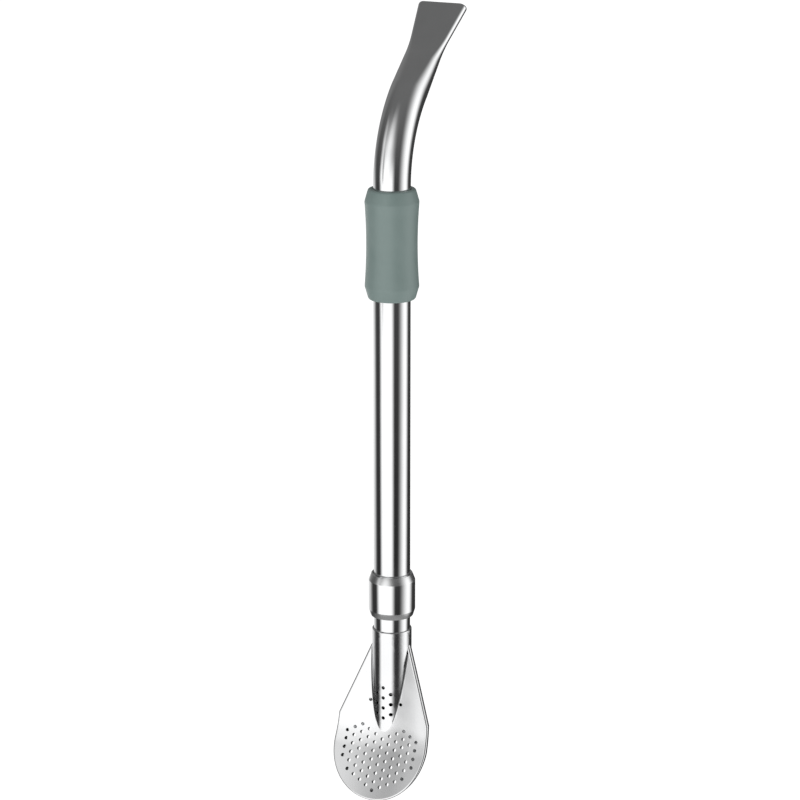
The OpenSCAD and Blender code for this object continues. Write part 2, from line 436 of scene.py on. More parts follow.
    @staticmethod
    def loft(bm: bmesh.types.BMesh, rows: Sequence[Sequence[Vector]], closed: bool) -> None:
        """Extrudes a row of points through a list of rows.

        Args:
            bm: mesh to add to.
            rows: equal rows of points.
            closed: whether each row is a ring.
        """
        place = bm.verts.layers.int.get("place") or bm.verts.layers.int.new("place")
        verts = [bm.verts.new(p) for p in rows[0]]
        for i, v in enumerate(verts):
            v[place] = i
        edges = [bm.edges.new((verts[i], verts[i + 1])) for i in range(len(verts) - 1)]
        if closed:
            edges.append(bm.edges.new((verts[-1], verts[0])))
        for row in rows[1:]:
            made = bmesh.ops.extrude_edge_only(bm, edges=edges)["geom"]
            verts = [g for g in made if isinstance(g, bmesh.types.BMVert)]
            fresh = set(verts)
            edges = [g for g in made if isinstance(g, bmesh.types.BMEdge)
                     and g.verts[0] in fresh and g.verts[1] in fresh]
            for v in verts:
                v.co = row[v[place]]

    @staticmethod
    def perforated(bm: bmesh.types.BMesh, border: Sequence[Point2], holes: Sequence[Sequence[Point2]],
                   cuts: Tuple[Sequence[float], Sequence[float]], place: Place) -> None:
        """Fills a flat outline with holes, cuts it into a fine net and lays it on a curved surface.

        Args:
            bm: mesh to add to.
            border: corners of the outline, in the flat.
            holes: corners of each hole, in the flat.
            cuts: where the net's lines lie along the two flat axes.
            place: maps a flat point to its place on the part.
        """
        flat = bmesh.new()
        for loop in [border, *holes]:
            verts = [flat.verts.new((u, v, 0.0)) for u, v in loop]
            for i in range(len(verts)):
                flat.edges.new((verts[i - 1], verts[i]))
        bmesh.ops.triangle_fill(flat, use_beauty=True, use_dissolve=False, edges=flat.edges[:],
                                normal=(0, 0, 1))
        for axis, lines in zip((Vector((1, 0, 0)), Vector((0, 1, 0))), cuts):
            for line in lines:
                geom = flat.verts[:] + flat.edges[:] + flat.faces[:]
                bmesh.ops.bisect_plane(flat, geom=geom, dist=Workshop.WELD, plane_co=axis * line,
                                       plane_no=axis)
        bmesh.ops.triangulate(flat, faces=[f for f in flat.faces if len(f.verts) > 4])
        for v in flat.verts:
            v.co = place(v.co.x, v.co.y)
        scratch = bpy.data.meshes.new("net")
        flat.to_mesh(scratch)
        flat.free()
        bm.from_mesh(scratch)
        bpy.data.meshes.remove(scratch)


def show(piece: bpy.types.Object, body: Body, slot: Slot, *nodes: str) -> bpy.types.Object:
    """Lets a piece ride on its body in place of CAD nodes.

    Args:
        piece: finished piece.
        body: body it moves with.
        slot: material slot of the record; not used.
        nodes: CAD nodes that it stands for.

    Returns:
        The same piece.
    """
    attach(piece, body.value)
    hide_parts(*nodes)
    LOG.info("%s rides on %s: %d faces", piece.name, body.value, len(piece.data.polygons))
    return piece


@dataclass
class Straw:
    """The straight tube and the bent mouthpiece that is pressed flat towards the mouth."""

    steel: bpy.types.Material
    radius: float = TUBE_R
    wall: float = TUBE_WALL
    edge_r: float = TUBE_EDGE_R
    solder_gap: float = SOLDER_GAP
    lip_r: float = 0.2 * MM
    bend_start: float = 96.4 * MM
    bend_r: float = 30.0 * MM
    bend_angle: float = math.radians(46.0)
    round_run: float = 9.0 * MM
    tip_len: float = 17.1 * MM
    flare: float = 1.95 * MM
    flare_soft: float = 0.42
    press_thick: float = 2.5 * MM
    face_back: float = 8.0 * MM
    face_len: float = 15.0 * MM
    mouth_corner_r: float = 0.7 * MM
    sides: int = 120
    bend_rings: int = 40
    press_rings: int = 40
    lip_rings: int = 5

    def build(self) -> None:
        """Makes the tube, the mouthpiece and the flange inside the nut."""
        show(self.tube(), Body.STRAW, Slot.STEEL, "straw_tube")
        show(self.mouthpiece(), Body.STRAW, Slot.STEEL, "mouthpiece")
        show(self.flange(), Body.STRAW, Slot.STEEL, "straw_flange")

    def tube(self) -> bpy.types.Object:
        """Returns the straight tube between the nut and the joint under the grip."""
        low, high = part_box("straw_tube")
        bm = Workshop.ring(self.radius - self.wall, self.radius, (low.z, high.z), self.edge_r)
        return Workshop.finish(bm, "straw_tube_polished", self.steel)

    def flange(self) -> bpy.types.Object:
        """Returns the ring that the nut's lip draws down on."""
        low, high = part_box("straw_flange")
        bm = Workshop.ring(self.radius + self.solder_gap, high.x, (low.z, high.z), self.edge_r)
        return Workshop.finish(bm, "straw_flange_turned", self.steel)

    @property
    def bend_len(self) -> float:
        """Length of the bend along the axis."""
        return self.bend_r * self.bend_angle

    @property
    def mouth_s(self) -> float:
        """Place of the mouth along the axis, from the start of the bend."""
        return self.bend_len + self.round_run + self.tip_len

    def closed(self, s: float) -> float:
        """How far the press has closed.

        Args:
            s: place along the axis, from the start of the bend.

        Returns:
            The share that is closed, 0 to 1.
        """
        x = min(max((s - self.bend_len - self.round_run + self.face_back) / self.face_len, 0.0), 1.0)
        return x * x * (3.0 - 2.0 * x)

    def flared(self, s: float) -> float:
        """How far the mouth has flared: a soft start, then a straight run to the lip.

        Args:
            s: place along the axis, from the start of the bend.

        Returns:
            What the flare adds to the half width.
        """
        x = max((s - self.bend_len - self.round_run) / self.tip_len, 0.0)
        if x < self.flare_soft:
            return self.flare * x * x / (2.0 * self.flare_soft) / (1.0 - self.flare_soft / 2.0)
        return self.flare * (x - self.flare_soft / 2.0) / (1.0 - self.flare_soft / 2.0)

    def ring(self, s: float, inset: float) -> List[Vector]:
        """One ring of the mouthpiece: a flat oval square to the axis.

        Args:
            s: place along the axis, from the start of the bend.
            inset: how far the ring is drawn in from the outer skin.

        Returns:
            The ring's points.
        """
        half_w = self.radius + self.flared(s)
        half_t = self.radius + (self.press_thick / 2 - self.radius) * self.closed(s)
        flat = half_w - half_t
        over = max(s - (self.mouth_s - self.mouth_corner_r), 0.0)
        flat -= self.mouth_corner_r - math.sqrt(max(self.mouth_corner_r ** 2 - over ** 2, 0.0))
        flat = max(flat, 0.0)
        lean = min(max(s / self.bend_len, 0.0), 1.0) * self.bend_angle
        run = max(s - self.bend_len, 0.0)
        y = self.bend_r * (1.0 - math.cos(lean)) + run * math.sin(self.bend_angle)
        z = self.bend_start + min(s, 0.0) + self.bend_r * math.sin(lean) + run * math.cos(self.bend_angle)
        points = []
        for i in range(self.sides):
            a = (i + 0.5) * math.tau / self.sides
            out = (half_t - inset) * math.sin(a)
            across = math.copysign(flat, math.cos(a)) + (half_t - inset) * math.cos(a)
            points.append(Vector((across, y + out * math.cos(lean), z - out * math.sin(lean))))
        return points

    def mouthpiece(self) -> bpy.types.Object:
        """Returns the bent and pressed upper tube with its softened lip."""
        low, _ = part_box("mouthpiece")
        first = low.z - self.bend_start
        straight = self.mouth_s - self.mouth_corner_r
        press_at = self.bend_len + self.round_run
        places = [first]
        places += Workshop.steps(0.0, self.bend_len, self.bend_rings)
        places += Workshop.steps(press_at, straight, self.press_rings)
        quarter = Workshop.steps(0.0, math.pi / 2, self.lip_rings)
        corner = [self.mouth_s - self.mouth_corner_r * (1.0 - math.sin(a)) for a in quarter[1:]]
        outer = [(s, 0.0) for s in places + [c for c in corner if c < self.mouth_s - self.lip_r]]
        lip = [(self.mouth_s - self.lip_r * (1.0 - math.sin(a)), self.lip_r * (1.0 - math.cos(a)))
               for a in quarter]
        back = [(s, self.wall - inset) for s, inset in reversed(lip)]
        inner = [(s, self.wall) for s, _ in reversed(outer)]
        rows = [self.ring(s, inset) for s, inset in outer + lip + back + inner]
        bm = bmesh.new()
        Workshop.loft(bm, rows + [rows[0]], closed=True)
        Workshop.weld(bm)
        return Workshop.finish(bm, "mouthpiece_pressed", self.steel)


@dataclass
class Grip:
    """The moulded silicone sleeve with tapered ends, round shoulders and a long shallow waist."""

    silicone: bpy.types.Material
    bore: float = 4.55 * MM
    shoulder: float = 6.55 * MM
    waist: float = 6.15 * MM
    end: float = 5.75 * MM
    taper: float = 3.1 * MM
    edge_r: float = 0.3 * MM
    soft_r: float = 0.22 * MM
    waist_steps: int = 24

    def build(self) -> None:
        """Makes the sleeve in the place of its plain solid."""
        low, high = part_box("grip_sleeve")
        middle = (low.z + high.z) / 2
        half = (high.z - low.z) / 2
        reach = half - self.taper
        profile = [(self.bore, middle - half), (self.end - self.edge_r, middle - half),
                   (self.end, middle - half + self.edge_r)]
        for t in Workshop.steps(-1.0, 1.0, self.waist_steps):
            profile.append((self.waist + (self.shoulder - self.waist) * t * t, middle + reach * t))
        profile += [(self.end, middle + half - self.edge_r), (self.end - self.edge_r, middle + half),
                    (self.bore, middle + half)]
        bm = Workshop.turned(profile, self.soft_r)
        show(Workshop.finish(bm, "grip_sleeve_moulded", self.silicone), Body.GRIP, Slot.GRIP, "grip_sleeve")


@dataclass
class UnionNut:
    """The turned nut with bevelled ends that draws the head up against the straw."""

    steel: bpy.types.Material
    bevelled: bpy.types.Material
    radius: float = 5.75 * MM
    top_r: float = 5.05 * MM
    top_bevel: float = 1.75 * MM
    bottom_r: float = 5.25 * MM
    bottom_bevel: float = 1.6 * MM
    lip: float = 1.9 * MM
    lip_r: float = 4.55 * MM
    bore_r: float = 5.05 * MM
    edge_r: float = 0.06 * MM
    bevel_tilt: Tuple[float, float] = (0.15, 0.7)

    def build(self) -> None:
        """Makes the nut and gives its bevels their own finish."""
        low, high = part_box("collar_nut")
        profile = [
            (self.lip_r, high.z), (self.top_r, high.z), (self.radius, high.z - self.top_bevel),
            (self.radius, low.z + self.bottom_bevel), (self.bottom_r, low.z), (self.bore_r, low.z),
            (self.bore_r, high.z - self.lip), (self.lip_r, high.z - self.lip),
        ]
        bm = Workshop.turned(profile, self.edge_r)
        bm.normal_update()
        for face in bm.faces:
            if self.bevel_tilt[0] < abs(face.normal.z) < self.bevel_tilt[1]:
                face.material_index = Workshop.SECOND_FINISH
        piece = Workshop.finish(bm, "collar_nut_turned", self.steel, self.bevelled)
        show(piece, Body.NUT, Slot.STEEL, "collar_nut")


@dataclass
class Neck:
    """Neck tube, threaded ferrule and gasket at the top of the head."""

    steel: bpy.types.Material
    gasket: bpy.types.Material
    radius: float = TUBE_R
    wall: float = TUBE_WALL
    edge_r: float = TUBE_EDGE_R
    solder_gap: float = SOLDER_GAP
    gasket_edge_r: float = 0.2 * MM
    thread_lead: float = 1.0 * MM
    thread_depth: float = 0.28 * MM
    thread_base: float = 0.62 * MM
    thread_crest: float = 0.18 * MM
    thread_sunk: float = 0.05 * MM
    thread_rise: float = 0.1 * MM
    thread_steps: int = 72

    def build(self) -> None:
        """Makes the three pieces."""
        low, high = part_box("neck_tube")
        inner = self.radius - self.wall
        bm = Workshop.ring(inner, self.radius, (low.z, high.z), self.edge_r)
        show(Workshop.finish(bm, "neck_tube_polished", self.steel), Body.HEAD, Slot.STEEL, "neck_tube")
        low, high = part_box("union_gasket")
        bm = Workshop.ring(inner, high.x, (low.z, high.z), self.gasket_edge_r)
        show(Workshop.finish(bm, "union_gasket_ring", self.gasket), Body.HEAD, Slot.GASKET, "union_gasket")
        show(self.ferrule(), Body.HEAD, Slot.STEEL, "neck_ferrule")

    def ferrule(self) -> bpy.types.Object:
        """Returns the ring on the neck with its thread."""
        low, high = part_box("neck_ferrule")
        root = high.x - self.thread_depth
        bm = Workshop.ring(self.radius + self.solder_gap, root, (low.z, high.z), 0.0)
        turns = (high.z - low.z) / self.thread_lead - 1.0
        sunk = root - self.thread_sunk
        start = low.z + self.thread_rise
        side = (self.thread_base - self.thread_crest) / 2
        corners = [(sunk, 0.0), (high.x, side), (high.x, side + self.thread_crest), (sunk, self.thread_base)]
        verts = [bm.verts.new((r, 0.0, start + z)) for r, z in corners]
        face = bm.faces.new(verts)
        steps = int(turns * self.thread_steps)
        bmesh.ops.spin(bm, geom=[*verts, *face.edges[:], face], cent=(0, 0, 0), axis=(0, 0, 1),
                       dvec=(0, 0, turns * self.thread_lead / steps), angle=math.tau * turns, steps=steps)
        Workshop.weld(bm)
        return Workshop.finish(bm, "neck_ferrule_threaded", self.steel)


@dataclass
class SpoonShape:
    """The spoon's measured form: a dished face turned about an axis in front of it, and its outline."""

    face_depth: float = 5.1 * MM
    face_drop: float = 41.9 * MM
    slope: float = math.radians(28.4)
    bowl_r: float = 68.0 * MM
    wing_bend: float = math.radians(17.2)
    wing_bend_r: float = 21.0 * MM
    bend_lead: float = 3.28 * MM
    wing_drop: float = 17.7 * MM
    kink_drop: float = 37.0 * MM
    kink_half: float = 12.25 * MM
    bowl_drop: float = 43.3 * MM
    rim_r: float = 12.55 * MM
    sheet: float = 0.35 * MM
    chamber: float = 0.9 * MM
    socket_r: float = 4.88 * MM
    socket_drop: float = 14.25 * MM
    nose_drop: float = 32.8 * MM
    hole_pitch: float = 1.9 * MM
    hole_r: float = 0.46 * MM
    back_hole_r: float = 0.74 * MM
    side_columns: int = 5
    back_skip: int = 1
    field_margin: float = 1.95 * MM
    first_row_rise: float = 0.7 * MM
    tongue_pitch: float = 2.66 * MM
    tongue_mid_rise: float = 9.16 * MM
    tongue_sag: float = 0.27 * MM
    tongue_columns: Tuple[int, ...] = (4, 3, 1)
    hem_r: float = 0.55 * MM
    hem_depth: float = 0.72 * MM
    cuff_r: float = 0.28 * MM
    split_range: Span = (math.radians(20.0), math.radians(130.0))
    probe: float = 0.01 * MM
    solve_steps: int = 12
    kink_gain: float = 1.5
    wing_steps: int = 24
    flank_steps: int = 6
    rim_steps: int = 96
    hole_steps: int = 24
    socket_rows: int = 12
    cuff_arc_steps: int = 6
    cuff_steps: int = 72

    @property
    def axis_y(self) -> float:
        """Y of the axis that the face is turned about."""
        return -self.face_depth - self.bowl_r * math.cos(self.slope)

    @property
    def axis_z(self) -> float:
        """Z of that axis, level with the foot of the tongue."""
        return -self.face_drop + self.bowl_r * math.sin(self.slope)

    @property
    def depth(self) -> float:
        """Depth of the whole spoon behind its face."""
        return 2 * self.sheet + self.chamber

    def turned_r(self, h: float, back: float) -> float:
        """Radius of the face at h along its axis.

        Args:
            h: place along the axis, from the foot of the tongue up.
            back: how far the surface lies behind the face.

        Returns:
            The radius.
        """
        bend = self.wing_bend_r + back
        centre = self.bowl_r - self.wing_bend_r
        over = h + self.bend_lead
        if over <= 0.0:
            return centre + bend
        if over < bend * math.sin(self.wing_bend):
            return centre + math.sqrt(bend * bend - over * over)
        past = over - bend * math.sin(self.wing_bend)
        return centre + bend * math.cos(self.wing_bend) - past * math.tan(self.wing_bend)

    def face_y(self, x: float, z: float, back: float) -> float:
        """Y of the face at a point seen from the front.

        Args:
            x: place across.
            z: height.
            back: how far the surface lies behind the face.

        Returns:
            The Y.
        """
        sin_s, cos_s = math.sin(self.slope), math.cos(self.slope)
        rise = z - self.axis_z
        y = -self.face_depth
        for _ in range(self.solve_steps):
            h = (y - self.axis_y) * sin_s + rise * cos_s
            reach = math.sqrt(max(self.turned_r(h, back) ** 2 - x * x, 0.0))
            y = self.axis_y + (reach + rise * sin_s) / cos_s
        return y

    def on_face(self, back: float) -> Place:
        """Returns the map from a front view to the surface that lies back behind the face."""
        return lambda x, z: Vector((x, self.face_y(x, z, back), z))

    def normal(self, x: float, z: float, back: float) -> Vector:
        """Direction square to the face, towards its back.

        Args:
            x: place across.
            z: height.
            back: how far the surface lies behind the face.

        Returns:
            The unit normal.
        """
        step = self.probe
        dx = (self.face_y(x + step, z, back) - self.face_y(x - step, z, back)) / (2 * step)
        dz = (self.face_y(x, z + step, back) - self.face_y(x, z - step, back)) / (2 * step)
        return Vector((-dx, 1.0, -dz)).normalized()

    def wing_x(self, z: float, inset: float) -> float:
        """Half width of the wings at a height.

        Args:
            z: height.
            inset: how far the line is drawn in from the outline.

        Returns:
            The half width.
        """
        top = self.socket_r - self.sheet / 2
        run = (self.kink_half - top) / (self.kink_drop - self.wing_drop)
        return top + run * (-self.wing_drop - z) - inset * math.hypot(1.0, run)

    def rim(self, top: float, inset: float) -> List[Point2]:
        """The outline from the right wing's top, round the bowl, to the left wing's top.

        Args:
            top: height at which the wings begin.
            inset: how far the line is drawn in from the outline.

        Returns:
            The outline's corners, in the front view.
        """
        run = (self.rim_r - self.kink_half) / (self.bowl_drop - self.kink_drop)
        kink_z = -self.kink_drop
        for _ in range(self.solve_steps):
            flank = self.kink_half + run * (-self.kink_drop - kink_z) - inset * math.hypot(1.0, run)
            kink_z += (self.wing_x(kink_z, inset) - flank) * self.kink_gain
        right = [(self.wing_x(z, inset), z) for z in Workshop.steps(top, kink_z, self.wing_steps)]
        low = -self.bowl_drop
        foot = self.rim_r - inset * math.hypot(1.0, run)
        widths = Workshop.steps(right[-1][0], foot, self.flank_steps)
        heights = Workshop.steps(kink_z, low, self.flank_steps)
        right += list(zip(widths, heights))[1:-1]
        for i in range(self.rim_steps // 2 + 1):
            a = math.pi * i / self.rim_steps
            right.append(((self.rim_r - inset) * math.cos(a), low - (self.rim_r - inset) * math.sin(a)))
        return right + [(-x, z) for x, z in reversed(right[:-1])]

    def split_angle(self, z: float) -> float:
        """Angle round the straw's axis at which the two halves of the socket meet.

        Args:
            z: height.

        Returns:
            The angle, from the front.
        """
        r = self.socket_r
        return Workshop.bisect(self.split_range,
                               lambda phi: -r * math.cos(phi) < self.face_y(r * math.sin(phi), z, 0.0))

    def hem(self, bm: bmesh.types.BMesh, top: float, section: Sequence[Point2]) -> None:
        """Adds the bar along the outline that rounds the edge of a sheet.

        Args:
            bm: mesh to add to.
            top: height at which it begins on both wings.
            section: its section: how far in from the outline, and how far behind the face.
        """
        columns = []
        for inset, back in section:
            columns.append([Vector((x, self.face_y(x, z, back), z)) for x, z in self.rim(top, inset)])
        rows = [list(row) for row in zip(*columns)]
        Workshop.loft(bm, rows, closed=True)

    def cuff(self, bm: bmesh.types.BMesh, start: float, end: float) -> None:
        """Adds the rounded top edge of the socket.

        Args:
            bm: mesh to add to.
            start: angle round the straw's axis at which it begins.
            end: angle at which it ends.
        """
        inner, outer = self.socket_r - self.sheet, self.socket_r
        low, high = -self.socket_drop - self.cuff_r, -self.socket_drop
        section = [(inner, low), (outer, low)]
        for a in Workshop.steps(0.0, math.pi / 2, self.cuff_arc_steps):
            section.append((outer - self.cuff_r * (1.0 - math.cos(a)), low + self.cuff_r * math.sin(a)))
        section.append((inner, high))
        rows = []
        for phi in Workshop.steps(start, end, self.cuff_steps):
            rows.append([Vector((r * math.sin(phi), -r * math.cos(phi), z)) for r, z in section])
        Workshop.loft(bm, rows, closed=True)

    def circle(self, x: float, z: float, r: float, lean: float) -> List[Point2]:
        """A round hole punched square to its sheet, as the front view shows it.

        Args:
            x: place across.
            z: height.
            r: radius.
            lean: how far the sheet leans from upright.

        Returns:
            Its corners.
        """
        flat = math.cos(lean)
        turn = math.tau / self.hole_steps
        angles = [i * turn for i in range(self.hole_steps)]
        return [(x + r * math.cos(a), z + r * flat * math.sin(a)) for a in angles]

    def bowl_holes(self, r: float, skip: int, back: float) -> List[List[Point2]]:
        """Holes of the bowl in the front view.

        Args:
            r: radius of a hole.
            skip: outer rings that are left out.
            back: how far the pierced surface lies behind the face.

        Returns:
            The corners of each hole.
        """
        row = self.hole_pitch / 2
        field = self.rim_r - self.field_margin - skip * row
        columns = self.side_columns - skip
        drop = back * math.sin(self.slope)
        holes = []
        for n in range(-columns, columns + 1):
            x = n * self.hole_pitch
            k = max(1 - abs(n), abs(n) - columns + skip)
            while k * row < 2 * self.rim_r:
                rise = self.first_row_rise - k * row
                if math.hypot(x, self.bowl_drop - self.face_drop + rise) <= field:
                    holes.append(self.circle(x, -self.face_drop + rise - drop, r, self.slope))
                k += 2
        return holes

    def tongue_spots(self) -> List[Point2]:
        """Middles of the tongue's holes in the front view."""
        reach = len(self.tongue_columns) - 1
        spots = []
        for n in range(-reach, reach + 1):
            count = self.tongue_columns[abs(n)]
            middle = -self.face_drop + self.tongue_mid_rise - (self.tongue_sag if n else 0.0)
            spots += [(n * self.hole_pitch, middle + (k - (count - 1) / 2) * self.tongue_pitch)
                      for k in range(count)]
        return spots


@dataclass
class SpoonFront:
    """Front half of the spoon: the perforated dish, its wings and the tongue, pressed from one sheet."""

    shape: SpoonShape
    steel: bpy.types.Material
    # Painted shade: a dark steel laid on the fillet's flanks in place of the shade in the crease between
    # tongue and dish, from this angle round the straw's axis outwards.
    crease_shade: bpy.types.Material
    painted_shade_from: float = math.radians(27.0)
    fillet_r: float = 0.42 * MM
    dish_hole_clear: float = 0.04 * MM
    tongue_hole_clear: float = 0.05 * MM
    top_range: Span = (math.radians(40.0), math.radians(110.0))
    fillet_steps: int = 5
    seam_steps: int = 36
    across_every: int = 4
    along_every: int = 2
    net_step: float = 0.9 * MM

    def ball(self, phi: float) -> Vector:
        """Centre of the ball that rolls between the tongue and the dish.

        Args:
            phi: angle round the straw's axis, 0 at the front.

        Returns:
            The centre.
        """
        reach = self.shape.socket_r + self.fillet_r
        x, y = reach * math.sin(phi), -reach * math.cos(phi)
        height = Workshop.bisect((-self.shape.bowl_drop, -self.shape.socket_drop),
                                 lambda z: self.shape.face_y(x, z, -self.fillet_r) < y)
        return Vector((x, y, height))

    def foot(self, phi: float) -> Vector:
        """Where the ball touches the dish.

        Args:
            phi: angle round the straw's axis, 0 at the front.

        Returns:
            The point of the dish.
        """
        centre = self.ball(phi)
        return centre + self.fillet_r * self.shape.normal(centre.x, centre.z, -self.fillet_r)

    def inside_hem(self, phi: float) -> bool:
        """Whether the ball touches the dish inside its hem.

        Args:
            phi: angle round the straw's axis, 0 at the front.

        Returns:
            True inside the hem.
        """
        foot = self.foot(phi)
        return foot.x < self.shape.wing_x(foot.z, self.shape.hem_r)

    @staticmethod
    def seam_reach(seam: Sequence[Vector], z: float) -> float:
        """How far out the seam lies at a height.

        Args:
            seam: points of the seam.
            z: height.

        Returns:
            X of the right half's nearest point.
        """
        return min((abs(p.z - z), p.x) for p in seam if p.x > 0)[1]

    def build(self) -> None:
        """Makes the dish, the fillet and the tongue as one sheet, paints shade on the fillet's flanks and
        gives it its thickness.
        """
        shape = self.shape
        top = Workshop.bisect(self.top_range, self.inside_hem)
        angles = Workshop.steps(-top, top, 2 * self.seam_steps)
        centres = [self.ball(a) for a in angles]
        feet = [self.foot(a) for a in angles]
        heads = [Vector((shape.socket_r * math.sin(a), -shape.socket_r * math.cos(a), c.z))
                 for a, c in zip(angles, centres)]
        bm = bmesh.new()
        self.dish(bm, feet)
        starts = [(foot - centre).normalized() for foot, centre in zip(feet, centres)]
        ends = [(head - centre).normalized() for head, centre in zip(heads, centres)]
        plain = set(bm.faces)
        rows = Workshop.fillet(centres, starts, ends, self.fillet_r, self.fillet_steps)
        Workshop.loft(bm, rows, closed=False)
        # Painted shade: fillet faces further round than the angle from the front take the dark steel, which
        # stands in for the shade in the crease.
        for face in set(bm.faces) - plain:
            middle = face.calc_center_median()
            if abs(math.atan2(middle.x, -middle.y)) > self.painted_shade_from:
                face.material_index = Workshop.SECOND_FINISH
        self.tongue(bm, angles, heads)
        Workshop.weld(bm)
        Workshop.thicken(bm, shape.sheet)
        section = Workshop.edge_section(shape.hem_r, shape.hem_r, 0.0, shape.hem_depth)
        shape.hem(bm, -shape.wing_drop - shape.hem_r, section)
        split = shape.split_angle(-shape.socket_drop)
        shape.cuff(bm, -split, split)
        bmesh.ops.recalc_face_normals(bm, faces=bm.faces[:])
        piece = Workshop.finish(bm, "spoon_front_pressed", self.steel, self.crease_shade)
        show(piece, Body.HEAD, Slot.STEEL, "spoon_front")

    def dish(self, bm: bmesh.types.BMesh, feet: Sequence[Vector]) -> None:
        """Adds the perforated dish with its cut-out for the tongue.

        Args:
            bm: mesh to add to.
            feet: the cut-out's edge, from left to right.
        """
        shape = self.shape
        seam = [(p.x, p.z) for p in feet]
        border = seam[:-1] + shape.rim(seam[-1][1], shape.hem_r)[:-1]
        across = [x for x, _ in seam[::self.across_every]]
        edge = max(across)
        while edge + self.net_step < shape.rim_r:
            edge += self.net_step
            across += [edge, -edge]
        along = [z for _, z in seam[self.seam_steps::self.along_every]]
        bottom = min(along)
        while bottom - self.net_step > -shape.bowl_drop - shape.rim_r:
            bottom -= self.net_step
            along.append(bottom)
        holes = shape.bowl_holes(shape.hole_r, 0, 0.0)
        for x, z in shape.tongue_spots():
            reach = self.seam_reach(feet, z)
            if abs(x) + shape.hole_r > reach - self.fillet_r:
                clear = max(abs(x), reach + shape.hole_r + self.dish_hole_clear)
                holes.append(shape.circle(math.copysign(clear, x), z, shape.hole_r, shape.slope))
        Workshop.perforated(bm, border, holes, (across, along), shape.on_face(0.0))

    def tongue(self, bm: bmesh.types.BMesh, angles: Sequence[float], heads: Sequence[Vector]) -> None:
        """Adds the tongue and the front of the socket.

        Args:
            bm: mesh to add to.
            angles: angles of the tongue's lower edge, from left to right.
            heads: points of that edge.
        """
        shape = self.shape
        r = shape.socket_r
        rim = -shape.socket_drop - shape.cuff_r
        seam = [(a * r, p.z) for a, p in zip(angles, heads)]
        side = [(r * shape.split_angle(z), z) for z in Workshop.steps(seam[-1][1], rim, shape.socket_rows)]
        around = [u for u, _ in seam[::self.across_every]]
        top = [(u, rim) for u in reversed(around)]
        along = [z for _, z in seam[self.seam_steps::self.along_every]] + [z for _, z in side[1:-1]]
        holes = []
        for x, z in shape.tongue_spots():
            if abs(x) + shape.hole_r <= self.seam_reach(heads, z) - self.tongue_hole_clear:
                ring = shape.circle(x, z, shape.hole_r, 0.0)
                holes.append([(r * math.asin(px / r), pz) for px, pz in ring])
        border = seam + side + top + [(-u, z) for u, z in reversed(side)]
        Workshop.perforated(bm, border, holes, (around, along),
                            lambda u, z: Vector((r * math.sin(u / r), -r * math.cos(u / r), z)))


